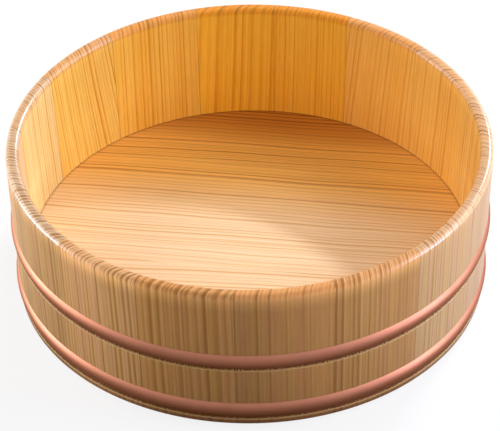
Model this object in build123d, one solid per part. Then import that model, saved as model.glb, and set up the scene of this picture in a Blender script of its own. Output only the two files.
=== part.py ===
"""A coopered rice tub: a ring of tapered softwood staves, a floor of edge-joined boards let into
a groove round the inside of the ring, two crowned copper hoops that hold the ring closed, and
the hidden bamboo pegs that keep the staves and the boards in line.

Millimetres, +Z up. The origin is on the tub's axis, in the plane that its foot stands on, and
the floor boards run along X.
"""

import os

from build123d import *

# The body of the tub
HEIGHT = 113.0
RIM_RADIUS = 165.0
FOOT_RADIUS = 161.0
RIM_WALL = 9.0
FOOT_WALL = 11.2
RIM_OUTER_ROUND = 3.4
RIM_INNER_ROUND = 3.4
FOOT_OUTER_ROUND = 2.5
FOOT_INNER_ROUND = 2.0

# The staves, as the arc that each takes of the ring, in degrees, and where the first one starts
FIRST_JOINT_ANGLE = 25.3
BACK_STAVE_ARCS = (25.0, 22.0, 20.0, 20.5, 24.5)
LEFT_STAVE_ARCS = (23.5, 23.0, 23.0, 23.0)
FRONT_STAVE_ARCS = (22.5, 23.0, 23.0, 22.5)
RIGHT_STAVE_ARCS = (21.5, 21.5, 21.5)

# The floor, and the groove in the staves that holds its edge. The boards run from front to back
FOOT_RECESS = 15.0
FLOOR_THICKNESS = 12.0
FLOOR_EDGE_THICKNESS = 8.0
FLOOR_BEVEL_RUN = 9.0
GROOVE_DEPTH = 3.0
FLOOR_FIT = 0.1
FLOOR_BOARD_WIDTHS = (59.2, 63.0, 71.0, 46.0, 69.2)

# The hoops, and the shallow seats turned for them in the outside of the staves
LOWER_HOOP_HEIGHT = 13.3
UPPER_HOOP_HEIGHT = 55.5
HOOP_WIDTH = 12.0
HOOP_CROWN = 1.6
HOOP_GAUGE = 1.0
HOOP_SEAT_DEPTH = 1.2
HOOP_SEAT_GAP = 0.4
HOOP_SEAT_LIP = 0.9
HOOP_FIT = 0.05

# The bamboo pegs, shaved to flats
PEG_FLAT_COUNT = 8
STAVE_PEG_RADIUS = 1.6
STAVE_PEG_LENGTH = 22.0
FLOOR_PEG_RADIUS = 2.0
FLOOR_PEG_LENGTH = 26.0
FLOOR_PEG_SPACING = 72.0
PEG_POINT_LENGTH = 3.0
PEG_POINT_TAPER = 0.8
PEG_FIT = 0.05
PEG_END_GAP = 0.5

STAVE_ARCS = BACK_STAVE_ARCS + LEFT_STAVE_ARCS + FRONT_STAVE_ARCS + RIGHT_STAVE_ARCS
FLOOR_TOP = FOOT_RECESS + FLOOR_THICKNESS
HOOP_HEIGHTS = {"lower_hoop": LOWER_HOOP_HEIGHT, "upper_hoop": UPPER_HOOP_HEIGHT}


def between(low_value, high_value, z):
    """What runs straight from one value at the foot to another at the rim, at the height z."""
    return low_value + (high_value - low_value) * z / HEIGHT


def outer_radius(z):
    return between(FOOT_RADIUS, RIM_RADIUS, z)


def inner_radius(z):
    return between(FOOT_RADIUS - FOOT_WALL, RIM_RADIUS - RIM_WALL, z)


def seat_radius(z):
    return outer_radius(z) - HOOP_SEAT_DEPTH


GROOVE_RADIUS = inner_radius(FLOOR_TOP) + GROOVE_DEPTH
FLOOR_RADIUS = GROOVE_RADIUS - FLOOR_FIT
FLOOR_BEVEL_SLOPE = (FLOOR_THICKNESS - FLOOR_EDGE_THICKNESS) / FLOOR_BEVEL_RUN


def section(corners, rounds=()):
    """A face in the radius-height plane from its corners, with some of them rounded."""
    face = make_face(Polyline(*corners, close=True))
    for corner, radius in rounds:
        nearest = face.vertices().sort_by_distance(Vector(*corner))[0]
        face = fillet(nearest, radius)
    return face


def turned(profile, arc=360.0, start=0.0):
    """A section in the radius-height plane, turned about the tub's axis."""
    return Rot(0, 0, start) * revolve(Plane.XZ * profile, Axis.Z, arc)


def hoop_seat(hoop_height):
    """The corners of one hoop seat on the outside of a stave, upwards. Its lower lip is eased."""
    low = hoop_height - HOOP_WIDTH / 2 - HOOP_SEAT_GAP
    high = hoop_height + HOOP_WIDTH / 2 + HOOP_SEAT_GAP
    lip = low - HOOP_SEAT_LIP
    return [
        (outer_radius(lip), lip),
        (seat_radius(low), low),
        (seat_radius(high), high),
        (outer_radius(high), high),
    ]


def groove_mouth_height(groove_low):
    """Where the groove's lower side, sloped like the floor's bevel, comes out of the inner wall."""
    wall_slope = (inner_radius(HEIGHT) - inner_radius(0)) / HEIGHT
    fall = FLOOR_BEVEL_SLOPE * (GROOVE_RADIUS - inner_radius(0))
    return (groove_low - fall) / (1 - FLOOR_BEVEL_SLOPE * wall_slope)


def stave_profile():
    """A stave's section: the foot, the two hoop seats, the rounded rim and the floor's groove."""
    foot_outer = (outer_radius(0), 0)
    foot_inner = (inner_radius(0), 0)
    rim_outer = (outer_radius(HEIGHT), HEIGHT)
    rim_inner = (inner_radius(HEIGHT), HEIGHT)
    groove_low = FLOOR_TOP - FLOOR_EDGE_THICKNESS
    groove_mouth = groove_mouth_height(groove_low)
    corners = [
        foot_outer,
        *hoop_seat(LOWER_HOOP_HEIGHT),
        *hoop_seat(UPPER_HOOP_HEIGHT),
        rim_outer,
        rim_inner,
        (inner_radius(FLOOR_TOP), FLOOR_TOP),
        (GROOVE_RADIUS, FLOOR_TOP),
        (GROOVE_RADIUS, groove_low),
        (inner_radius(groove_mouth), groove_mouth),
        foot_inner,
    ]
    rounds = [
        (foot_outer, FOOT_OUTER_ROUND),
        (foot_inner, FOOT_INNER_ROUND),
        (rim_outer, RIM_OUTER_ROUND),
        (rim_inner, RIM_INNER_ROUND),
    ]
    return section(corners, rounds)


def hoop(height):
    """A strip of copper rolled to a crowned section, closed to a ring, that bears on its two edges."""
    low = height - HOOP_WIDTH / 2
    high = height + HOOP_WIDTH / 2
    crown = outer_radius(height) + HOOP_CROWN
    low_edge = (seat_radius(low) + HOOP_FIT, low)
    high_edge = (seat_radius(high) + HOOP_FIT, high)
    low_heel = (seat_radius(low + HOOP_GAUGE) + HOOP_FIT, low + HOOP_GAUGE)
    high_heel = (seat_radius(high - HOOP_GAUGE) + HOOP_FIT, high - HOOP_GAUGE)
    outline = [
        ThreePointArc(low_edge, (crown, height), high_edge),
        Line(high_edge, high_heel),
        ThreePointArc(high_heel, (crown - HOOP_GAUGE, height), low_heel),
        Line(low_heel, low_edge),
    ]
    return turned(make_face(outline))


def peg(radius, length):
    """A bamboo peg along Z, shaved to flats, with both ends cut to blunt points."""
    body = RegularPolygon(radius, PEG_FLAT_COUNT)
    point = RegularPolygon(radius - PEG_POINT_TAPER, PEG_FLAT_COUNT)
    tip = length / 2
    shoulder = tip - PEG_POINT_LENGTH
    ends = [(-tip, point), (-shoulder, body), (shoulder, body), (tip, point)]
    return loft([Pos(0, 0, z) * outline for z, outline in ends], ruled=True)


def peg_hole(radius, length):
    return Cylinder(radius + PEG_FIT, length + 2 * PEG_END_GAP)


def stave_joint_angles():
    """Where each stave starts, in degrees. The arcs are shared out so that they close the ring."""
    share = 360.0 / sum(STAVE_ARCS)
    angles = [FIRST_JOINT_ANGLE]
    for arc in STAVE_ARCS:
        angles.append(angles[-1] + arc * share)
    return angles


def stave_peg_places(angle):
    """Two pegs across one joint: above the floor, and between the upper hoop and the rim."""
    heights = (
        (FLOOR_TOP + UPPER_HOOP_HEIGHT - HOOP_WIDTH / 2) / 2,
        (UPPER_HOOP_HEIGHT + HOOP_WIDTH / 2 + HEIGHT) / 2,
    )
    places = []
    for z in heights:
        middle = (seat_radius(z) + inner_radius(z)) / 2
        places.append(Rot(0, 0, angle) * Pos(middle, 0, z) * Rot(90, 0, 0))
    return places


def make_staves():
    """Every stave, in order round the ring, and the pegs that line them up."""
    profile = stave_profile()
    angles = stave_joint_angles()
    hole = peg_hole(STAVE_PEG_RADIUS, STAVE_PEG_LENGTH)
    staves = []
    for start, end in zip(angles, angles[1:]):
        stave = turned(profile, end - start, start)
        for place in stave_peg_places(start) + stave_peg_places(end):
            stave -= place * hole
        staves.append(stave)
    one_peg = peg(STAVE_PEG_RADIUS, STAVE_PEG_LENGTH)
    pegs = [place * one_peg for angle in angles[:-1] for place in stave_peg_places(angle)]
    return staves, pegs


def board_edges():
    """Where each floor board starts along Y. The widths are shared out so that they fill the floor."""
    share = 2 * FLOOR_RADIUS / sum(FLOOR_BOARD_WIDTHS)
    edges = [-FLOOR_RADIUS]
    for width in FLOOR_BOARD_WIDTHS:
        edges.append(edges[-1] + width * share)
    return edges


def floor_peg_places(joint):
    """Three pegs across one joint between boards, at half the boards' edge thickness."""
    height = FLOOR_TOP - FLOOR_EDGE_THICKNESS / 2
    return [Pos(step * FLOOR_PEG_SPACING, joint, height) * Rot(90, 0, 0) for step in (-1, 0, 1)]


def make_floor():
    """The floor boards, from front to back, and the pegs between them."""
    disc = turned(
        section(
            [
                (0, FOOT_RECESS),
                (FLOOR_RADIUS - FLOOR_BEVEL_RUN, FOOT_RECESS),
                (FLOOR_RADIUS, FLOOR_TOP - FLOOR_EDGE_THICKNESS),
                (FLOOR_RADIUS, FLOOR_TOP),
                (0, FLOOR_TOP),
            ]
        )
    )
    edges = board_edges()
    joints = edges[1:-1]
    hole = peg_hole(FLOOR_PEG_RADIUS, FLOOR_PEG_LENGTH)
    boards = []
    for front, back in zip(edges, edges[1:]):
        slab = Pos(0, (front + back) / 2, FLOOR_TOP) * Box(2 * FLOOR_RADIUS, back - front, 2 * FLOOR_TOP)
        board = disc & slab
        for joint in joints:
            if joint in (front, back):
                for place in floor_peg_places(joint):
                    board -= place * hole
        boards.append(board)
    one_peg = peg(FLOOR_PEG_RADIUS, FLOOR_PEG_LENGTH)
    pegs = [place * one_peg for joint in joints for place in floor_peg_places(joint)]
    return boards, pegs


def write(name, *solids):
    """One STEP file for a node of one or more separate solids."""
    shape = solids[0] if len(solids) == 1 else Compound(children=list(solids))
    export_step(shape, os.path.join("parts", name + ".step"))


os.makedirs("parts", exist_ok=True)

staves, stave_pegs = make_staves()
for number, stave in enumerate(staves, start=1):
    write(f"stave_{number:02d}", stave)
write("stave_pegs", *stave_pegs)

boards, floor_pegs = make_floor()
for number, board in enumerate(boards, start=1):
    write(f"floor_board_{number}", board)
write("floor_pegs", *floor_pegs)

for hoop_name, hoop_height in HOOP_HEIGHTS.items():
    write(hoop_name, hoop(hoop_height))
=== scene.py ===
from math import atan2, cos, radians, sin

import bmesh
import bpy
from mathutils import Matrix, Vector


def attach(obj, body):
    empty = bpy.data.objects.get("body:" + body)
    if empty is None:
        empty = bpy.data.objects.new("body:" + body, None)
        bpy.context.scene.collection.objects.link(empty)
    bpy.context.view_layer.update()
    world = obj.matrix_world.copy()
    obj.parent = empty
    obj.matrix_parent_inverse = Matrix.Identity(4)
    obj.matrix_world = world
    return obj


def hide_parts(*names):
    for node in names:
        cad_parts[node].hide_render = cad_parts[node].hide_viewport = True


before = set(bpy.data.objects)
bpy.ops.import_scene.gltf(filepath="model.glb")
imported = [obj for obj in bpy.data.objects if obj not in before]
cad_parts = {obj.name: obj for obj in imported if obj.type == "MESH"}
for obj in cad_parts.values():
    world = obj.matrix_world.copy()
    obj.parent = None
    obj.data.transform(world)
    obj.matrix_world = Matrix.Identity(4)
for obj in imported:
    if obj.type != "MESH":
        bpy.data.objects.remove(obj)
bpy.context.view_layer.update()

# The ring of staves: sixteen lengths of straight-grained softwood, hollowed inside and rounded
# outside. They stand edge to edge with a faint arris at each joint, and each has the groove for
# the floor, two turned seats for the hoops and an end rounded over at the rim.
HEIGHT = 0.113
FOOT_RADIUS, RIM_RADIUS = 0.161, 0.165
FOOT_WALL, RIM_WALL = 0.0112, 0.009
FOOT_OUTER_ROUND, FOOT_INNER_ROUND, RIM_ROUND = 0.0025, 0.002, 0.0034
FLOOR_TOP, FLOOR_EDGE, FLOOR_BEVEL = 0.027, 0.008, 4 / 9
GROOVE_DEPTH = 0.003
HOOP_WIDTH, SEAT_DEPTH, SEAT_GAP, SEAT_LIP = 0.012, 0.0012, 0.0004, 0.0009
LOWER_HOOP, UPPER_HOOP = 0.0133, 0.0555
ARRIS, ARRIS_STEPS = 0.0001, 2
STAVE_STEPS, ROUND_STEPS, FULL_TURN = 20, 7, 360
SMOOTH_ANGLE = radians(20)
SAME_POINT, SAME_CORNER = 1e-6, 1e-5


def outer_radius(z):
    return FOOT_RADIUS + (RIM_RADIUS - FOOT_RADIUS) * z / HEIGHT


def inner_radius(z):
    foot, rim = FOOT_RADIUS - FOOT_WALL, RIM_RADIUS - RIM_WALL
    return foot + (rim - foot) * z / HEIGHT


def hoop_seat(height):
    low = height - HOOP_WIDTH / 2 - SEAT_GAP
    high = height + HOOP_WIDTH / 2 + SEAT_GAP
    lip = low - SEAT_LIP
    return [
        (outer_radius(lip), lip),
        (outer_radius(low) - SEAT_DEPTH, low),
        (outer_radius(high) - SEAT_DEPTH, high),
        (outer_radius(high), high),
    ]


def pick_points(piece, wanted):
    """In edit mode, select the points at the places that are wanted, and all that they enclose."""
    mesh = bmesh.from_edit_mesh(piece.data)
    for point in mesh.verts:
        point.select = wanted(point.co)
    mesh.select_flush(True)
    mesh.select_flush(False)
    bmesh.update_edit_mesh(piece.data)


def draw_section(name, corners, rounds=()):
    """A flat section in the radius-height plane: a point drawn out from corner to corner, closed
    and filled, with some of its corners rounded."""
    bpy.ops.object.select_all(action="DESELECT")
    bpy.ops.mesh.primitive_plane_add(size=0.001, location=(0, 0, 0))
    piece = bpy.context.object
    piece.name = name
    piece.data.name = name
    bpy.ops.object.mode_set(mode="EDIT")
    bpy.ops.mesh.select_mode(type="VERT")
    bpy.ops.mesh.merge(type="CENTER")
    bpy.ops.transform.translate(value=(corners[0][0], 0, corners[0][1]))
    for (r0, z0), (r1, z1) in zip(corners, corners[1:] + corners[:1]):
        step = {"value": (r1 - r0, 0, z1 - z0)}
        bpy.ops.mesh.extrude_vertices_move(TRANSFORM_OT_translate=step)
    bpy.ops.mesh.select_all(action="SELECT")
    bpy.ops.mesh.remove_doubles(threshold=SAME_POINT)
    bpy.ops.mesh.edge_face_add()
    for (r, z), size in rounds:
        pick_points(piece, lambda place: (place - Vector((r, 0, z))).length < SAME_CORNER)
        bpy.ops.mesh.bevel(affect="VERTICES", offset=size, segments=ROUND_STEPS, profile=0.5)
    bpy.ops.object.mode_set(mode="OBJECT")
    return piece


groove_radius = inner_radius(FLOOR_TOP) + GROOVE_DEPTH
groove_low = FLOOR_TOP - FLOOR_EDGE
wall_slope = (inner_radius(HEIGHT) - inner_radius(0)) / HEIGHT
groove_mouth = groove_low - FLOOR_BEVEL * (groove_radius - inner_radius(0))
groove_mouth /= 1 - FLOOR_BEVEL * wall_slope
foot_outer, foot_inner = (outer_radius(0), 0), (inner_radius(0), 0)
rim_outer, rim_inner = (outer_radius(HEIGHT), HEIGHT), (inner_radius(HEIGHT), HEIGHT)
stave_section = draw_section(
    "stave_section",
    [
        foot_outer,
        *hoop_seat(LOWER_HOOP),
        *hoop_seat(UPPER_HOOP),
        rim_outer,
        rim_inner,
        (inner_radius(FLOOR_TOP), FLOOR_TOP),
        (groove_radius, FLOOR_TOP),
        (groove_radius, groove_low),
        (inner_radius(groove_mouth), groove_mouth),
        foot_inner,
    ],
    [
        (foot_outer, FOOT_OUTER_ROUND),
        (foot_inner, FOOT_INNER_ROUND),
        (rim_outer, RIM_ROUND),
        (rim_inner, RIM_ROUND),
    ],
)


def turn_section(section, name, start, arc, steps):
    """A copy of a section, turned about the tub's axis through an arc in degrees. For a whole turn
    only the outline is turned, so that no face is left inside the ring."""
    piece = section.copy()
    piece.data = section.data.copy()
    piece.name = name
    piece.data.name = name
    bpy.context.scene.collection.objects.link(piece)
    bpy.ops.object.select_all(action="DESELECT")
    piece.select_set(True)
    bpy.context.view_layer.objects.active = piece
    piece.rotation_euler.z = radians(start)
    bpy.ops.object.transform_apply(location=False, rotation=True, scale=False)
    bpy.ops.object.mode_set(mode="EDIT")
    bpy.ops.mesh.select_all(action="SELECT")
    if arc == FULL_TURN:
        bpy.ops.mesh.delete(type="ONLY_FACE")
        bpy.ops.mesh.select_all(action="SELECT")
    bpy.ops.mesh.spin(steps=steps, angle=radians(arc), center=(0, 0, 0), axis=(0, 0, -1))
    bpy.ops.mesh.select_all(action="SELECT")
    bpy.ops.mesh.remove_doubles(threshold=SAME_POINT)
    bpy.ops.mesh.normals_make_consistent(inside=False)
    bpy.ops.object.mode_set(mode="OBJECT")
    return piece


def on_joint(place, angle):
    """Whether a place lies in the upright plane through the axis at an angle in degrees."""
    aside = place.y * cos(radians(angle)) - place.x * sin(radians(angle))
    return abs(aside) < SAME_POINT


def new_node(tree, kind, inputs=None, **settings):
    made = tree.nodes.new(kind)
    for key, value in settings.items():
        setattr(made, key, value)
    for socket, value in (inputs or {}).items():
        if isinstance(value, bpy.types.NodeSocket):
            tree.links.new(value, made.inputs[socket])
        else:
            made.inputs[socket].default_value = value
    return made


def calc(tree, operation, *values):
    sockets = dict(enumerate(values))
    return new_node(tree, "ShaderNodeMath", sockets, operation=operation).outputs[0]


def blend(tree, kind, amount, first, second):
    """Two colours mixed by an amount, or one laid over the other in another way."""
    first, second = [(*one, 1) if isinstance(one, tuple) else one for one in (first, second)]
    sockets = {0: amount, 6: first, 7: second}
    return new_node(tree, "ShaderNodeMix", sockets, data_type="RGBA", blend_type=kind).outputs[2]


def shaded(tree, colour, level):
    """A colour made lighter or darker by a level that changes over the surface."""
    grey = new_node(tree, "ShaderNodeCombineColor", {0: level, 1: level, 2: level}).outputs[0]
    return blend(tree, "MULTIPLY", 1.0, colour, grey)


def step_up(tree, value, low, high):
    """0 below low, 1 above high, and smooth between them."""
    sockets = {"Value": value, "From Min": low, "From Max": high}
    kind = "SMOOTHSTEP"
    return new_node(tree, "ShaderNodeMapRange", sockets, interpolation_type=kind).outputs[0]


def noise_line(tree, value, detail=2.0):
    """Smooth noise that changes along one direction only."""
    sockets = {"W": value, "Scale": 1.0, "Detail": detail}
    return new_node(tree, "ShaderNodeTexNoise", sockets, noise_dimensions="1D").outputs[0]


RING_PROFILE = ((0.25, 0.12), (0.5, 0.4), (0.72, 0.9), (0.85, 1.0), (0.94, 0.5))
THIN_LINES, THIN_FORCE, LEAST_FORCE, FORCE_POWER = 2.7, 0.55, 0.25, 1.4


def make_figure():
    """The figure of quartered softwood as a node group, in millimetres across, into and along the
    grain: growth rings that end in a dark line, fine fibres, and a slow change of tone."""
    group = bpy.data.node_groups.new("softwood_figure", "ShaderNodeTree")
    places = ("across", "depth", "along")
    sizes = ("pitch", "lean", "tilt", "wander", "edge", "even")
    for name in (*places, *sizes, "seed"):
        group.interface.new_socket(name=name, in_out="INPUT", socket_type="NodeSocketFloat")
    for name in ("rings", "fibre", "tone"):
        group.interface.new_socket(name=name, in_out="OUTPUT", socket_type="NodeSocketFloat")
    given = group.nodes.new("NodeGroupInput").outputs
    result = group.nodes.new("NodeGroupOutput").inputs

    def grain_noise(across, along, detail, lift=0.0):
        """Noise drawn out along the grain, by its waves to a millimetre across it and along it."""
        place = new_node(
            group,
            "ShaderNodeCombineXYZ",
            {
                0: calc(group, "MULTIPLY", given["across"], across),
                1: calc(group, "MULTIPLY", given["depth"], across),
                2: calc(group, "MULTIPLY", given["along"], along),
            },
        ).outputs[0]
        lifted = calc(group, "ADD", given["seed"], lift)
        sockets = {"Vector": place, "W": lifted, "Scale": 1.0, "Detail": detail}
        return new_node(group, "ShaderNodeTexNoise", sockets, noise_dimensions="4D").outputs[0]

    def line_noise(value, lift):
        noise = noise_line(group, calc(group, "ADD", value, lift), 1.0)
        return calc(group, "SUBTRACT", noise, 0.5)

    def dark_lines(ring, lift):
        """The dark end of each growth ring, some darker than others."""
        number = calc(group, "FLOOR", ring)
        profile = new_node(group, "ShaderNodeValToRGB", {0: calc(group, "SUBTRACT", ring, number)})
        ramp = profile.color_ramp
        ramp.elements[1].color = (0, 0, 0, 1)
        for share, dark in RING_PROFILE:
            ramp.elements.new(share).color = (dark, dark, dark, 1)
        draw = calc(group, "ADD", number, calc(group, "ADD", seed, lift))
        chance = new_node(group, "ShaderNodeTexWhiteNoise", {"W": draw}, noise_dimensions="1D")
        force = calc(group, "POWER", chance.outputs[0], FORCE_POWER)
        force = calc(group, "MULTIPLY_ADD", force, 1 - LEAST_FORCE, LEAST_FORCE)
        force = calc(group, "MAXIMUM", force, given["even"])
        sharp = calc(group, "POWER", profile.outputs[0], given["edge"])
        return calc(group, "MULTIPLY", sharp, force)

    drift = calc(group, "SUBTRACT", grain_noise(0.022, 0.011, 1.0), 0.5)
    place = calc(group, "MULTIPLY_ADD", given["depth"], given["lean"], given["across"])
    place = calc(group, "MULTIPLY_ADD", given["along"], given["tilt"], place)
    place = calc(group, "MULTIPLY_ADD", drift, given["wander"], place)
    seed = calc(group, "MULTIPLY", given["seed"], 7.3)
    ring = calc(group, "DIVIDE", place, given["pitch"])
    uneven = line_noise(calc(group, "MULTIPLY_ADD", ring, 0.37, seed), 0.0)
    spread = calc(group, "MULTIPLY_ADD", given["even"], -1.4, 1.7)
    ring = calc(group, "MULTIPLY_ADD", uneven, spread, ring)
    thin = dark_lines(calc(group, "MULTIPLY", ring, THIN_LINES), 17.0)
    thin = calc(group, "MULTIPLY", thin, THIN_FORCE)
    rings = calc(group, "MAXIMUM", dark_lines(ring, 0.0), thin)
    fading = calc(group, "MULTIPLY_ADD", grain_noise(0.15, 0.012, 1.0, 9.0), 0.9, 0.55)
    group.links.new(calc(group, "MULTIPLY", rings, fading), result["rings"])
    group.links.new(grain_noise(1.7, 0.04, 3.0, 5.0), result["fibre"])
    tone = line_noise(calc(group, "MULTIPLY_ADD", place, 0.06, seed), 31.0)
    streak = calc(group, "SUBTRACT", grain_noise(0.5, 0.012, 1.0, 3.0), 0.5)
    tone = calc(group, "MULTIPLY_ADD", streak, 1.1, tone)
    group.links.new(calc(group, "ADD", tone, 0.5), result["tone"])
    return group


softwood_figure = make_figure()
MM = 1000.0
FIBRE_SHADE, FIBRE_ROUGH = (0.3, 0.85), (0.16, 0.36)
RELIEF = 0.0001


def figured(tree, across, depth, along, **sizes):
    sockets = {"across": across, "depth": depth, "along": along, **sizes}
    made = new_node(tree, "ShaderNodeGroup", sockets, node_tree=softwood_figure)
    return made.outputs["rings"], made.outputs["fibre"], made.outputs["tone"]


def from_axis(tree, place, unit=1.0):
    """How far a place is from the tub's axis."""
    sockets = {0: place, 1: (unit, unit, 0)}
    flat = new_node(tree, "ShaderNodeVectorMath", sockets, operation="MULTIPLY").outputs[0]
    return new_node(tree, "ShaderNodeVectorMath", {0: flat}, operation="LENGTH").outputs["Value"]


# Bare wood outside, with painted light under the rim and painted shade toward the foot, what has
# gathered in the joints, and at the hoop seats grime that is partly painted shade and torn fibres
# that are partly a painted highlight. Then the crest of the rim, its tone partly painted light, and
# the honey wood inside, partly painted bounce light. Heights and distances are in millimetres.
STRAW, TAN, BROWN = (0.475, 0.232, 0.063), (0.387, 0.173, 0.043), (0.255, 0.097, 0.006)
PINKER, YELLOWER, HUE_WAVES = (1.02, 0.975, 1.12), (0.985, 1.02, 0.88), 0.1
HEIGHT_SHADE = (0.0022, 0.84)
PAINTED_TOP_LIGHT, TOP_LIGHT_FROM, TOP_LIGHT_REACH = (1.0, 0.52, 0.17), 97.5, 14.0
TOP_LIGHT_POWER, TOP_LIGHT_WOOD, TOP_LIGHT_LINES = 1.6, 1.15, -0.6
PAINTED_FOOT_SHADE, FOOT_SHADE_LOW, FOOT_SHADE_HIGH = (0.55, 0.42, 0.2), 2.5, 6.5
SEAM, SEAM_SHARE, SEAM_NEAR, SEAM_FAR = (0.3, 0.2, 0.12), 0.5, 0.1, 0.4
SPLINTER_AND_HIGHLIGHT, SPLINTER_AND_HIGHLIGHT_SHARE, RAGGED = (0.6, 0.4, 0.18), 0.42, 2.4
GRIME_AND_SHADE, GRIME_AND_SHADE_SHARE, GRIME_AND_SHADE_ROUGH = (0.12, 0.035, 0.006), 0.85, 0.45
LOWER_STAIN_AND_SHADE, UPPER_STAIN_AND_SHADE, STAIN_AND_SHADE_EDGE = -0.4, 0.25, 0.5
SPLINTER_AND_HIGHLIGHT_LOW, SPLINTER_AND_HIGHLIGHT_HIGH, STAIN_AND_SHADE_TOP = -1.1, -0.6, -0.8
CREST_HONEY, CREST_CREAM = (0.87, 0.275, 0.012), (0.71, 0.53, 0.335)
CREST_LINE, CREST_BOLD = (0.33, 0.12, 0.01), 1.4
CREST_SHARE, CREST_LOW, CREST_HIGH = 0.8, 107.5, 112.0
HONEY, AMBER, RUSSET = (0.98, 0.61, 0.155), (0.95, 0.52, 0.095), (0.66, 0.19, 0.0)
WALL_MIDDLE, WALL_LEAN, INSIDE_FROM, INSIDE_FULL = 157.0, 0.045, 2.0, 6.0
STAVE_EVEN, STAVE_SEED = 0.35, 3.7


def stave_wood(name, middle, arc, seed, look):
    """Softwood for one stave, whose middle is at an angle in degrees. Outside it is bare, with
    painted shade toward the foot and a tint of its own that is partly painted light and shade;
    inside it is a brighter honey, which stands in partly for light bouncing inside the tub."""
    material = bpy.data.materials.new(name)
    material.use_nodes = True
    tree = material.node_tree
    shader = tree.nodes["Principled BSDF"]
    place = new_node(tree, "ShaderNodeTexCoord").outputs["Object"]
    sockets = {"Vector": place, "Rotation": (0, 0, -radians(middle)), "Scale": (MM, MM, MM)}
    turned = new_node(tree, "ShaderNodeMapping", sockets).outputs[0]
    out, across, height = new_node(tree, "ShaderNodeSeparateXYZ", {0: turned}).outputs
    radius = from_axis(tree, turned)
    depth = calc(tree, "SUBTRACT", radius, WALL_MIDDLE)
    figure = {size: look[size] for size in ("pitch", "lean", "tilt", "wander", "edge")}
    rings, fibre, tone = figured(tree, across, depth, height, even=STAVE_EVEN, seed=seed, **figure)
    lines = calc(tree, "MULTIPLY", rings, look["bold"])

    hue = noise_line(tree, calc(tree, "MULTIPLY_ADD", across, HUE_WAVES, seed))
    hue = blend(tree, "MIX", step_up(tree, hue, 0.3, 0.7), PINKER, YELLOWER)
    bare = blend(tree, "MIX", tone, STRAW, TAN)
    bare = blend(tree, "MULTIPLY", 1.0, bare, hue)
    bare = blend(tree, "MIX", lines, bare, BROWN)
    # The stave's own tint, which also carries painted light and shade: paler at the sides, darker
    # at the front.
    bare = blend(tree, "MULTIPLY", 1.0, bare, look["outer_tint_and_light"])
    # Painted shade: the bare wood is darker toward the foot, where less light reaches it.
    bare = shaded(tree, bare, calc(tree, "MULTIPLY_ADD", height, *HEIGHT_SHADE))
    # Painted light: a band under the rim, lighter toward the top, where the wall catches light from
    # above.
    top_light = look["top_light"]
    under_rim = calc(
        tree, "MULTIPLY_ADD", height, 1 / TOP_LIGHT_REACH, -TOP_LIGHT_FROM / TOP_LIGHT_REACH
    )
    under_rim = calc(tree, "POWER", calc(tree, "MAXIMUM", under_rim, 0.0), TOP_LIGHT_POWER)
    pale = calc(tree, "MULTIPLY_ADD", lines, TOP_LIGHT_LINES * top_light, TOP_LIGHT_WOOD * top_light)
    bare = blend(tree, "ADD", calc(tree, "MULTIPLY", under_rim, pale), bare, PAINTED_TOP_LIGHT)
    # Painted shade: a darker band at the foot, next to the floor.
    foot_shade = calc(tree, "SUBTRACT", 1.0, step_up(tree, height, FOOT_SHADE_LOW, FOOT_SHADE_HIGH))
    bare = blend(tree, "MULTIPLY", foot_shade, bare, PAINTED_FOOT_SHADE)

    grime_and_shade = 0.0
    for seat, stain_and_shade in ((LOWER_HOOP, LOWER_STAIN_AND_SHADE), (UPPER_HOOP, UPPER_STAIN_AND_SHADE)):
        lip = (seat - HOOP_WIDTH / 2 - SEAT_GAP - SEAT_LIP) * MM
        high = (seat + HOOP_WIDTH / 2 + SEAT_GAP) * MM
        tear = noise_line(tree, calc(tree, "MULTIPLY_ADD", across, 1.0, seed + seat))
        ragged = calc(tree, "MULTIPLY_ADD", calc(tree, "SUBTRACT", tear, 0.5), RAGGED, height)
        edge = lip + stain_and_shade
        # A dark band from the lip up into the seat: partly grime, partly painted shade under the
        # hoop.
        stained_and_shaded = step_up(tree, ragged, edge, edge + STAIN_AND_SHADE_EDGE)
        # Pale torn fibres along the lip below each hoop, brightened as a painted highlight where
        # the lip catches light.
        torn_and_lit = step_up(tree, ragged, edge + SPLINTER_AND_HIGHLIGHT_LOW, edge + SPLINTER_AND_HIGHLIGHT_HIGH)
        splinters_and_highlight = calc(tree, "SUBTRACT", torn_and_lit, stained_and_shaded)
        share = calc(tree, "MULTIPLY", splinters_and_highlight, SPLINTER_AND_HIGHLIGHT_SHARE)
        bare = blend(tree, "MIX", share, bare, SPLINTER_AND_HIGHLIGHT)
        stained_and_shaded = calc(tree, "SUBTRACT", stained_and_shaded, step_up(tree, height, high + STAIN_AND_SHADE_TOP, high))
        share = calc(tree, "MULTIPLY", stained_and_shaded, GRIME_AND_SHADE_SHARE)
        bare = blend(tree, "MIX", share, bare, GRIME_AND_SHADE)
        grime_and_shade = calc(tree, "ADD", stained_and_shaded, grime_and_shade)

    # Inside, a brighter and deeper honey than outside, which stands in partly for light bouncing
    # inside the tub.
    inside_honey_and_bounce_light = blend(tree, "MIX", tone, HONEY, AMBER)
    inside_honey_and_bounce_light = blend(tree, "MIX", lines, inside_honey_and_bounce_light, RUSSET)
    inside_honey_and_bounce_light = blend(tree, "MULTIPLY", 1.0, inside_honey_and_bounce_light, look["inner_tint_and_light"])
    inward = calc(tree, "MULTIPLY_ADD", height, WALL_LEAN, calc(tree, "MULTIPLY", depth, -1.0))
    inside = step_up(tree, inward, INSIDE_FROM, INSIDE_FULL)
    wood = blend(tree, "MIX", inside, bare, inside_honey_and_bounce_light)
    polish_and_crest_light = look["polish_and_crest_light"]
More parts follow.
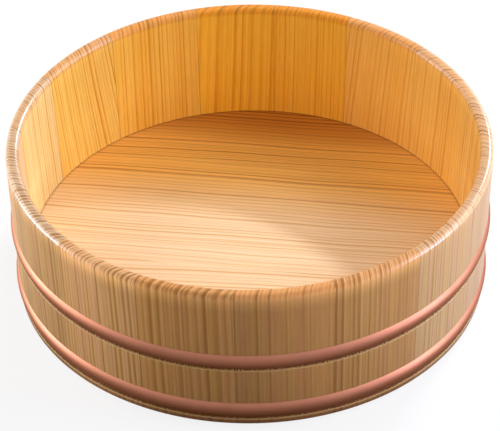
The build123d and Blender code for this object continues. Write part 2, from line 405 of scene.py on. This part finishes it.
    # The crest's end-grain tone, paler where the polish is higher: partly painted light where the
    # rim is lit, honey at the back where it is in shade.
    crest_tone_and_light = tuple(
        honey + (cream - honey) * polish_and_crest_light for honey, cream in zip(CREST_HONEY, CREST_CREAM)
    )
    rim = step_up(tree, height, CREST_LOW, CREST_HIGH)
    crest = blend(tree, "MIX", calc(tree, "MULTIPLY", lines, CREST_BOLD), crest_tone_and_light, CREST_LINE)
    wood = blend(tree, "MIX", calc(tree, "MULTIPLY", rim, CREST_SHARE), wood, crest)
    turn = calc(tree, "ABSOLUTE", calc(tree, "ARCTAN2", across, out))
    to_joint = calc(tree, "MULTIPLY", calc(tree, "SUBTRACT", radians(arc / 2), turn), radius)
    seam = calc(tree, "SUBTRACT", 1.0, step_up(tree, to_joint, SEAM_NEAR, SEAM_FAR))
    wood = blend(tree, "MULTIPLY", calc(tree, "MULTIPLY", seam, SEAM_SHARE), wood, SEAM)
    wood = shaded(tree, wood, calc(tree, "MULTIPLY_ADD", fibre, *FIBRE_SHADE))
    tree.links.new(wood, shader.inputs["Base Color"])

    rough = calc(tree, "MULTIPLY_ADD", fibre, *FIBRE_ROUGH)
    rough = calc(tree, "MULTIPLY_ADD", grime_and_shade, GRIME_AND_SHADE_ROUGH, rough)
    tree.links.new(rough, shader.inputs["Roughness"])
    tree.links.new(calc(tree, "MULTIPLY", rim, polish_and_crest_light), shader.inputs["Coat Weight"])
    shader.inputs["Coat Roughness"].default_value = 0.22
    shader.inputs["Specular IOR Level"].default_value = 0.25
    relief = calc(tree, "MULTIPLY_ADD", fibre, 0.8, calc(tree, "MULTIPLY", rings, 0.2))
    sockets = {"Height": relief, "Strength": 0.2, "Distance": RELIEF}
    bump = new_node(tree, "ShaderNodeBump", sockets).outputs[0]
    tree.links.new(bump, shader.inputs["Normal"])
    return material


# One row for each stave: the angle of its first joint, the spacing of its growth rings in
# millimetres, how they lean through the wall, tilt along it and wander, how sharp and how bold
# their lines are, its tint outside and inside, partly painted light and shade, the polish of its
# rim, which also pales its crest as painted light, and how strong the painted light under the rim
# is.
STAVE_WORDS = (
    "start", "pitch", "lean", "tilt", "wander", "edge", "bold",
    "outer_tint_and_light", "inner_tint_and_light", "polish_and_crest_light", "top_light",
)
STAVES = (
    (25.3, 4.0, 0.5, 0.02, 2.0, 1.6, 0.75, (1.06, 1.2, 1.8), (1, 1.01, 1.05), 0.5, 0.1),
    (50.3, 3.4, 0.3, 0.05, 2.0, 1.6, 0.7, (0.98, 1, 1.2), (1.02, 1.02, 1), 0.25, 0.2),
    (72.3, 3.2, 0.2, 0.0, 1.5, 1.4, 0.75, (1.04, 1.06, 1.1), (1.05, 1.02, 0.52), 0.0, 0.2),
    (92.3, 6.4, 0.9, 0.0, 2.5, 1.4, 0.7, (0.95, 0.94, 0.95), (1.05, 1.02, 0.42), 0.0, 0.2),
    (112.8, 3.4, 0.25, 0.0, 1.0, 1.6, 0.8, (1, 1.03, 1.05), (1, 1.02, 0.7), 0.15, 0.2),
    (137.3, 3.0, 0.5, -0.13, 2.0, 1.6, 1.05, (1.05, 1.1, 1.2), (1, 1.14, 1.1), 0.4, 0.2),
    (160.8, 2.6, 0.5, -0.05, 3.0, 1.4, 1.1, (1, 1.08, 1.3), (0.92, 1.25, 2.35), 0.7, 0.1),
    (183.8, 3.0, 0.4, 0.0, 1.5, 1.2, 1.2, (1, 1.1, 1.4), (0.9, 1.11, 3.0), 0.9, 0.1),
    (206.8, 3.4, 0.4, 0.0, 1.0, 0.8, 1.5, (0.85, 0.96, 1.08), (0.96, 1.08, 1.9), 0.9, 0.17),
    (229.8, 3.3, 0.4, 0.0, 1.0, 0.9, 1.2, (1.06, 1.18, 1.65), (1, 1.04, 1.5), 0.55, 0.4),
    (252.3, 6.2, 0.4, 0.0, 1.0, 0.8, 1.55, (0.99, 1.01, 0.94), (1, 1, 1.1), 0.35, 0.3),
    (275.3, 3.2, 0.4, 0.0, 1.0, 1.0, 0.8, (0.8, 0.79, 0.72), (1, 1, 1.1), 0.3, 0.25),
    (298.3, 3.8, 0.4, 0.0, 1.0, 0.9, 1.35, (0.8, 0.85, 0.84), (1, 1, 1.1), 0.38, 0.28),
    (320.8, 3.0, 0.3, 0.0, 1.0, 0.8, 0.9, (0.9, 1.13, 1.8), (1, 1, 1.2), 0.6, 0.05),
    (342.3, 2.8, 0.3, 0.0, 1.0, 0.8, 0.75, (0.86, 1.1, 1.95), (1, 1, 1.2), 0.6, 0.0),
    (3.8, 4.6, 0.7, 0.0, 3.0, 1.4, 1.0, (0.9, 1.03, 1.35), (1, 1.08, 1.4), 0.6, 0.1),
)
for number, row in enumerate(STAVES, start=1):
    look = dict(zip(STAVE_WORDS, row))
    start, end = look["start"], STAVES[number % len(STAVES)][0]
    arc = (end - start) % FULL_TURN
    node = f"stave_{number:02d}"
    stave = turn_section(stave_section, node + "_wood", start, arc, STAVE_STEPS)
    bpy.ops.object.mode_set(mode="EDIT")
    pick_points(stave, lambda place: on_joint(place, start) or on_joint(place, end))
    bpy.ops.mesh.bevel(affect="EDGES", offset=ARRIS, segments=ARRIS_STEPS, profile=0.5)
    bpy.ops.object.mode_set(mode="OBJECT")
    bpy.ops.object.shade_smooth_by_angle(angle=SMOOTH_ANGLE)
    wood = stave_wood(node + "_wood", start + arc / 2, arc, number * STAVE_SEED, look)
    stave.data.materials.append(wood)
    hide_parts(node)
    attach(stave, "root")
bpy.data.objects.remove(stave_section)

# The floor: five boards planed flat and edge-joined, their grain running across the tub. The round
# edge is bevelled below to fit the groove in the staves.
FLOOR_BOTTOM, FLOOR_BEVEL_RUN, FLOOR_STEPS = 0.015, 0.009, 240
FLOOR_GAP = 0.0001
FLOOR_RADIUS = groove_radius - FLOOR_GAP
BOARD_JOINTS = (-0.095, -0.032, 0.039, 0.085)


def floor_disc(name):
    """The whole floor: a disc drawn out to its full radius over the bevel, then up to its face."""
    bpy.ops.object.select_all(action="DESELECT")
    rim = FLOOR_RADIUS - FLOOR_BEVEL_RUN
    bpy.ops.mesh.primitive_circle_add(
        vertices=FLOOR_STEPS, radius=rim, fill_type="NGON", location=(0, 0, 0)
    )
    piece = bpy.context.object
    piece.name = name
    piece.data.name = name
    bpy.ops.object.mode_set(mode="EDIT")
    bpy.ops.transform.translate(value=(0, 0, FLOOR_BOTTOM))
    bevel_up, edge_up = (0, 0, groove_low - FLOOR_BOTTOM), (0, 0, FLOOR_EDGE)
    bpy.ops.mesh.extrude_region_move(TRANSFORM_OT_translate={"value": bevel_up})
    wide = FLOOR_RADIUS / rim
    bpy.ops.transform.resize(value=(wide, wide, 1), center_override=(0, 0, 0))
    bpy.ops.mesh.extrude_region_move(TRANSFORM_OT_translate={"value": edge_up})
    bpy.ops.mesh.select_all(action="SELECT")
    bpy.ops.mesh.normals_make_consistent(inside=False)
    return piece


# The pale wood, its darker streaks and its lines, at the front, in the back half and at the back,
# as painted light at the front and painted shade toward the back, how far back each begins, and the
# painted shade in the corner along the wall. Distances are in millimetres.
WHEAT = ((0.87, 0.62, 0.355), (0.85, 0.58, 0.31), (0.66, 0.335, 0.1))
GINGER = ((0.93, 0.5, 0.1), (0.89, 0.45, 0.075), (0.41, 0.112, 0.0))
COPPERY = ((0.66, 0.265, 0.034), (0.62, 0.24, 0.027), (0.27, 0.058, 0.0))
GINGER_FROM, GINGER_FULL, COPPERY_FROM, COPPERY_FULL = 12.0, 78.0, 102.0, 136.0
PAINTED_CORNER_SHADE, CORNER_FROM, CORNER_FULL = (0.6, 0.5, 0.42), 149.0, 151.3
BOARD_FIGURE = {"pitch": 4.0, "lean": 0.8, "wander": 6.0, "edge": 2.4, "even": 0.3}
BOARD_BOLD, BOARD_SEED, BOARD_SEED_STEP = 1.4, 60, 2.9


def board_wood(name, middle, tilt, shade, seed):
    """Softwood for one board of the floor, palest at the front and browner toward the back, which
    is painted light on the lit front and painted shade on the back, and darker in the corner along
    the wall by painted shade."""
    material = bpy.data.materials.new(name)
    material.use_nodes = True
    tree = material.node_tree
    shader = tree.nodes["Principled BSDF"]
    place = new_node(tree, "ShaderNodeTexCoord").outputs["Object"]
    sockets = {"Vector": place, "Location": (0, -middle * MM, 0), "Scale": (MM, MM, MM)}
    moved = new_node(tree, "ShaderNodeMapping", sockets).outputs[0]
    along, across, depth = new_node(tree, "ShaderNodeSeparateXYZ", {0: moved}).outputs
    rings, fibre, tone = figured(tree, across, depth, along, tilt=tilt, seed=seed, **BOARD_FIGURE)

    # Painted light and shade: the floor is paler at the front, where light falls, and browner
    # toward the shaded back.
    to_back = calc(tree, "ADD", across, middle * MM)
    back_half = step_up(tree, to_back, GINGER_FROM, GINGER_FULL)
    back_edge = step_up(tree, to_back, COPPERY_FROM, COPPERY_FULL)
    pale, dark, line = [
        blend(tree, "MIX", back_edge, blend(tree, "MIX", back_half, wheat, ginger), coppery)
        for wheat, ginger, coppery in zip(WHEAT, GINGER, COPPERY)
    ]
    wood = blend(tree, "MIX", tone, pale, dark)
    wood = blend(tree, "MIX", calc(tree, "MULTIPLY", rings, BOARD_BOLD), wood, line)
    wood = blend(tree, "MULTIPLY", 1.0, wood, (shade, shade, shade))
    # Painted shade in the corner where the floor meets the wall.
    corner_shade = step_up(tree, from_axis(tree, place, MM), CORNER_FROM, CORNER_FULL)
    wood = blend(tree, "MULTIPLY", corner_shade, wood, PAINTED_CORNER_SHADE)
    wood = shaded(tree, wood, calc(tree, "MULTIPLY_ADD", fibre, *FIBRE_SHADE))
    tree.links.new(wood, shader.inputs["Base Color"])

    rough = calc(tree, "MULTIPLY_ADD", fibre, *FIBRE_ROUGH)
    tree.links.new(rough, shader.inputs["Roughness"])
    shader.inputs["Coat Weight"].default_value = 0.75
    shader.inputs["Coat Roughness"].default_value = 0.4
    relief = calc(tree, "MULTIPLY_ADD", fibre, 0.5, calc(tree, "MULTIPLY", rings, 0.5))
    sockets = {"Height": relief, "Strength": 0.12, "Distance": RELIEF}
    bump = new_node(tree, "ShaderNodeBump", sockets).outputs[0]
    tree.links.new(bump, shader.inputs["Normal"])
    return material


# One row for each board, from the front: how light it is, and the tilt of its grain.
BOARDS = ((1.0, -0.055), (0.98, -0.055), (1.0, -0.015), (0.985, -0.02), (1.01, -0.035))
PAST_FLOOR = 1.0
board_edges = (-PAST_FLOOR, *BOARD_JOINTS, PAST_FLOOR)
board_rows = zip(board_edges, board_edges[1:], BOARDS)
for number, (front, back, (shade, tilt)) in enumerate(board_rows, start=1):
    node = f"floor_board_{number}"
    board = floor_disc(node + "_wood")
    for edge, side in ((front, -1), (back, 1)):
        if abs(edge) < PAST_FLOOR:
            bpy.ops.mesh.select_all(action="SELECT")
            bpy.ops.mesh.bisect(
                plane_co=(0, edge, 0), plane_no=(0, side, 0), use_fill=True, clear_outer=True
            )
    pick_points(
        board, lambda place: min(abs(place.y - front), abs(place.y - back)) < SAME_POINT
    )
    bpy.ops.mesh.bevel(affect="EDGES", offset=ARRIS, segments=ARRIS_STEPS, profile=0.5)
    bpy.ops.object.mode_set(mode="OBJECT")
    bpy.ops.object.shade_smooth_by_angle(angle=SMOOTH_ANGLE)
    middle = (max(front, -FLOOR_RADIUS) + min(back, FLOOR_RADIUS)) / 2
    seed = BOARD_SEED + number * BOARD_SEED_STEP
    board.data.materials.append(board_wood(node + "_wood", middle, tilt, shade, seed))
    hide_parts(node)
    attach(board, "root")

# The two hoops: copper strip rolled to a crowned section and brazed into a ring, then driven down
# into its seat, so that it bears on its two edges and holds the staves together.
HOOP_CROWN, HOOP_GAUGE, HOOP_FIT = 0.0016, 0.001, 0.00005
HOOP_START, HOOP_STEPS, CROWN_STEPS = 99.3, 240, 8
HOOP_SMOOTH_ANGLE = radians(40)
COPPER, DULL_COPPER = (0.51, 0.218, 0.136), (0.43, 0.174, 0.107)
TARNISH_AND_SHADE, COPPER_SHEEN = (0.145, 0.049, 0.02), (0.95, 0.72, 0.56, 1)
STREAKS_ROUND, STREAKS_UP, STREAK_ROUGH, STREAK_RELIEF = 4.0, 2.2, (0.2, 0.46), 0.00008
CLOUDS, CLOUD_REACH, TARNISH_AND_SHADE_POWER = 45.0, 0.3, 2.0


def crown_arc(low, high, crown):
    """Points from one edge of the strip to the other, over its crown."""
    chord = Vector((high[0] - low[0], high[1] - low[1]))
    middle = Vector(((high[0] + low[0]) / 2, (high[1] + low[1]) / 2))
    out = Vector((chord.y, -chord.x)).normalized()
    rise = crown - middle.x
    radius = (chord.length ** 2 / 4 + rise ** 2) / (2 * rise)
    centre = middle - out * (radius - rise)
    half = atan2(chord.length / 2, radius - rise)
    along = chord.normalized()
    points = []
    for step in range(-CROWN_STEPS, CROWN_STEPS + 1):
        turn = half * step / CROWN_STEPS
        point = centre + out * radius * cos(turn) + along * radius * sin(turn)
        points.append((point.x, point.y))
    return points


def hoop_copper(name, height):
    """Satin copper, rubbed along the strip, cloudy, and darker toward its lower edge, partly
    tarnish and partly painted shade.
    """
    material = bpy.data.materials.new(name)
    material.use_nodes = True
    tree = material.node_tree
    shader = tree.nodes["Principled BSDF"]
    shader.inputs["Metallic"].default_value = 1.0
    shader.inputs["Specular Tint"].default_value = COPPER_SHEEN
    place = new_node(tree, "ShaderNodeTexCoord").outputs["Object"]
    x, y, z = new_node(tree, "ShaderNodeSeparateXYZ", {0: place}).outputs
    turn = calc(tree, "ARCTAN2", y, x)
    rise = calc(tree, "MULTIPLY", calc(tree, "SUBTRACT", z, height), MM)
    sockets = {
        0: calc(tree, "MULTIPLY", calc(tree, "COSINE", turn), STREAKS_ROUND),
        1: calc(tree, "MULTIPLY", calc(tree, "SINE", turn), STREAKS_ROUND),
        2: calc(tree, "MULTIPLY", rise, STREAKS_UP),
    }
    around = new_node(tree, "ShaderNodeCombineXYZ", sockets).outputs[0]
    sockets = {"Vector": around, "Scale": 1.0, "Detail": 4.0, "Roughness": 0.6}
    streak = new_node(tree, "ShaderNodeTexNoise", sockets).outputs[0]
    sockets = {"Vector": place, "Scale": CLOUDS, "Detail": 3.0}
    cloud = new_node(tree, "ShaderNodeTexNoise", sockets).outputs[0]
    copper = blend(tree, "MIX", cloud, COPPER, DULL_COPPER)
    # Darker toward the lower edge: partly tarnish, partly painted shade where the strip turns down.
    half_width = HOOP_WIDTH * MM / 2
    sockets = {"Value": rise, "From Min": -half_width, "From Max": half_width}
    up_strip = new_node(tree, "ShaderNodeMapRange", sockets).outputs[0]
    uneven = calc(tree, "SUBTRACT", cloud, 0.5)
    up_strip = calc(tree, "MULTIPLY_ADD", uneven, CLOUD_REACH, up_strip)
    up_strip = calc(tree, "POWER", calc(tree, "MAXIMUM", up_strip, 0.0), TARNISH_AND_SHADE_POWER)
    copper = blend(tree, "MIX", up_strip, TARNISH_AND_SHADE, copper)
    tree.links.new(copper, shader.inputs["Base Color"])
    rough = calc(tree, "MULTIPLY_ADD", streak, *STREAK_ROUGH)
    tree.links.new(rough, shader.inputs["Roughness"])
    sockets = {"Height": streak, "Strength": 0.25, "Distance": STREAK_RELIEF}
    bump = new_node(tree, "ShaderNodeBump", sockets).outputs[0]
    tree.links.new(bump, shader.inputs["Normal"])
    return material


def strip_face(low, high, crown):
    """One face of a strip that bears on its seat at two heights."""
    bearing = HOOP_FIT - SEAT_DEPTH
    edges = [(outer_radius(z) + bearing, z) for z in (low, high)]
    return crown_arc(*edges, crown)


for node, height in (("lower_hoop", LOWER_HOOP), ("upper_hoop", UPPER_HOOP)):
    low, high = height - HOOP_WIDTH / 2, height + HOOP_WIDTH / 2
    crown = outer_radius(height) + HOOP_CROWN
    outer_face = strip_face(low, high, crown)
    inner_face = strip_face(low + HOOP_GAUGE, high - HOOP_GAUGE, crown - HOOP_GAUGE)
    strip_section = draw_section(node + "_section", outer_face + inner_face[::-1])
    hoop = turn_section(strip_section, node + "_copper", HOOP_START, FULL_TURN, HOOP_STEPS)
    bpy.ops.object.shade_smooth_by_angle(angle=HOOP_SMOOTH_ANGLE)
    hoop.data.materials.append(hoop_copper(node + "_copper", height))
    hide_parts(node)
    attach(hoop, "root")
    bpy.data.objects.remove(strip_section)

# The pegs: split bamboo, shaved to flats and pointed, hidden in the joints of the staves and of the
# floor. They keep the pieces in line until the hoops are driven on.
PALE_CANE, DARK_CANE, CANE_GRAIN = (0.62, 0.47, 0.22), (0.42, 0.28, 0.11), 900.0
for node in ("stave_pegs", "floor_pegs"):
    material = bpy.data.materials.new(node + "_bamboo")
    material.use_nodes = True
    tree = material.node_tree
    place = new_node(tree, "ShaderNodeTexCoord").outputs["Object"]
    sockets = {"Vector": place, "Scale": CANE_GRAIN, "Detail": 2.0}
    fibre = new_node(tree, "ShaderNodeTexNoise", sockets).outputs[0]
    cane = blend(tree, "MIX", fibre, PALE_CANE, DARK_CANE)
    tree.links.new(cane, tree.nodes["Principled BSDF"].inputs["Base Color"])
    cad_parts[node].data.materials.clear()
    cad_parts[node].data.materials.append(material)

# The studio: a plain pale floor that shows white to the camera and keeps the tub's shadow, in a
# white room.
STUDIO_SIZE, STUDIO_DROP = 12.0, 0.0002
STUDIO_GREY, WHITE = (0.9, 0.9, 0.9, 1), (1, 1, 1, 1)
WHITE_TO_CAMERA, WHITE_IN_GLOSS, ROOM_LIGHT = 0.8, 0.25, 0.02
bpy.ops.object.select_all(action="DESELECT")
bpy.ops.mesh.primitive_plane_add(size=STUDIO_SIZE, location=(0, 0, -STUDIO_DROP))
studio_floor = bpy.context.object
studio_floor.name = "studio_floor"
material = bpy.data.materials.new("studio_floor")
material.use_nodes = True
tree = material.node_tree
matt = tree.nodes["Principled BSDF"]
matt.inputs["Base Color"].default_value = STUDIO_GREY
matt.inputs["Roughness"].default_value = 0.9
rays = new_node(tree, "ShaderNodeLightPath").outputs
mirrored = calc(tree, "MAXIMUM", rays["Is Glossy Ray"], rays["Is Transmission Ray"])
seen = calc(tree, "MULTIPLY", rays["Is Camera Ray"], WHITE_TO_CAMERA)
seen = calc(tree, "MULTIPLY_ADD", mirrored, WHITE_IN_GLOSS, seen)
white = new_node(tree, "ShaderNodeEmission", {"Color": WHITE, "Strength": 1.0})
sockets = {0: seen, 1: matt.outputs[0], 2: white.outputs[0]}
mixed = new_node(tree, "ShaderNodeMixShader", sockets).outputs[0]
tree.links.new(mixed, tree.nodes["Material Output"].inputs["Surface"])
studio_floor.data.materials.append(material)

world = bpy.data.worlds.new("studio")
bpy.context.scene.world = world
world.use_nodes = True
tree = world.node_tree
rays = new_node(tree, "ShaderNodeLightPath").outputs
mirrored = calc(tree, "MAXIMUM", rays["Is Glossy Ray"], rays["Is Transmission Ray"])
seen = calc(tree, "MAXIMUM", rays["Is Camera Ray"], mirrored)
level = calc(tree, "MAXIMUM", seen, ROOM_LIGHT)
tree.links.new(level, tree.nodes["Background"].inputs["Strength"])
tree.nodes["Background"].inputs["Color"].default_value = WHITE

# The lamps: a low key behind the tub lights the floor's front and the wall at the left, and broad
# soft ones fill in the sides, the back and the front.
LAMP_AIM = Vector((0, 0, 0.06))
NORTH, COOL, DAYLIGHT = (0.9, 1.0, 1.17), (0.97, 1.0, 1.15), (0.96, 1.0, 1.35)


def lamp(name, turn, rise, distance, size, power, shine=True, colour=(1, 1, 1)):
    """A soft lamp that faces the tub, from a direction in degrees round it and above the floor."""
    turn, rise = radians(turn), radians(rise)
    toward = Vector((cos(turn) * cos(rise), sin(turn) * cos(rise), sin(rise)))
    bpy.ops.object.light_add(type="AREA", location=toward * distance + LAMP_AIM)
    made = bpy.context.object
    made.name = name
    made.rotation_euler = toward.to_track_quat("Z", "Y").to_euler()
    made.data.shape = "ELLIPSE"
    made.data.size, made.data.size_y = size
    made.data.energy = power
    made.data.color = colour
    made.visible_glossy = shine


lamp("key", 66.3, 31.0, distance=2.4, size=(0.6, 0.1), power=33.3, colour=NORTH)
lamp("high_key", 66.3, 48.0, distance=2.4, size=(0.9, 0.9), power=9.0, shine=False)
lamp("top", 80.0, 75.0, distance=2.0, size=(1.0, 1.0), power=2.5, shine=False)
lamp("right_back", 30.0, 35.0, distance=2.0, size=(0.6, 0.6), power=9.0)
lamp("left_back", 150.0, 35.0, distance=2.0, size=(0.6, 0.6), power=4.8)
lamp("left", 177.0, 28.0, distance=1.6, size=(0.9, 0.9), power=9.8)
lamp("low_left", 182.0, 1.0, distance=1.6, size=(0.9, 0.18), power=25.0, colour=COOL)
lamp("right", 3.0, 28.0, distance=1.6, size=(0.9, 0.9), power=12.3, colour=DAYLIGHT)
lamp("low_right", -2.0, 1.0, distance=1.6, size=(0.9, 0.18), power=18.0, colour=DAYLIGHT)
lamp("front", -85.0, 46.0, distance=2.0, size=(1.0, 1.0), power=9.7, shine=False)

# The camera: it stands a little to the right of the front and well above the rim, far off, with a
# long lens.
VIEW_TURN, VIEW_RISE, VIEW_ROLL = radians(9.3), radians(38.281), radians(0.878)
VIEW_DISTANCE, VIEW_FOCUS_PIXELS, IMAGE_WIDTH = 2.111452, 3064.363, 500
VIEW_ASIDE, VIEW_HEIGHT, SENSOR_WIDTH = -0.000352, 0.048406, 36.0
back = Vector(
    (sin(VIEW_TURN) * cos(VIEW_RISE), -cos(VIEW_TURN) * cos(VIEW_RISE), sin(VIEW_RISE))
)
right = Vector((cos(VIEW_TURN), sin(VIEW_TURN), 0))
up = back.cross(right)
target = right * VIEW_ASIDE + Vector((0, 0, VIEW_HEIGHT))
bpy.ops.object.camera_add(location=target + back * VIEW_DISTANCE)
camera = bpy.context.object
side = right * cos(VIEW_ROLL) - up * sin(VIEW_ROLL)
top = right * sin(VIEW_ROLL) + up * cos(VIEW_ROLL)
camera.rotation_euler = Matrix((side, top, back)).transposed().to_euler()
camera.data.sensor_fit = "HORIZONTAL"
camera.data.sensor_width = SENSOR_WIDTH
camera.data.lens = VIEW_FOCUS_PIXELS * SENSOR_WIDTH / IMAGE_WIDTH
bpy.context.scene.camera = camera
bpy.context.scene.view_settings.view_transform = "Standard"
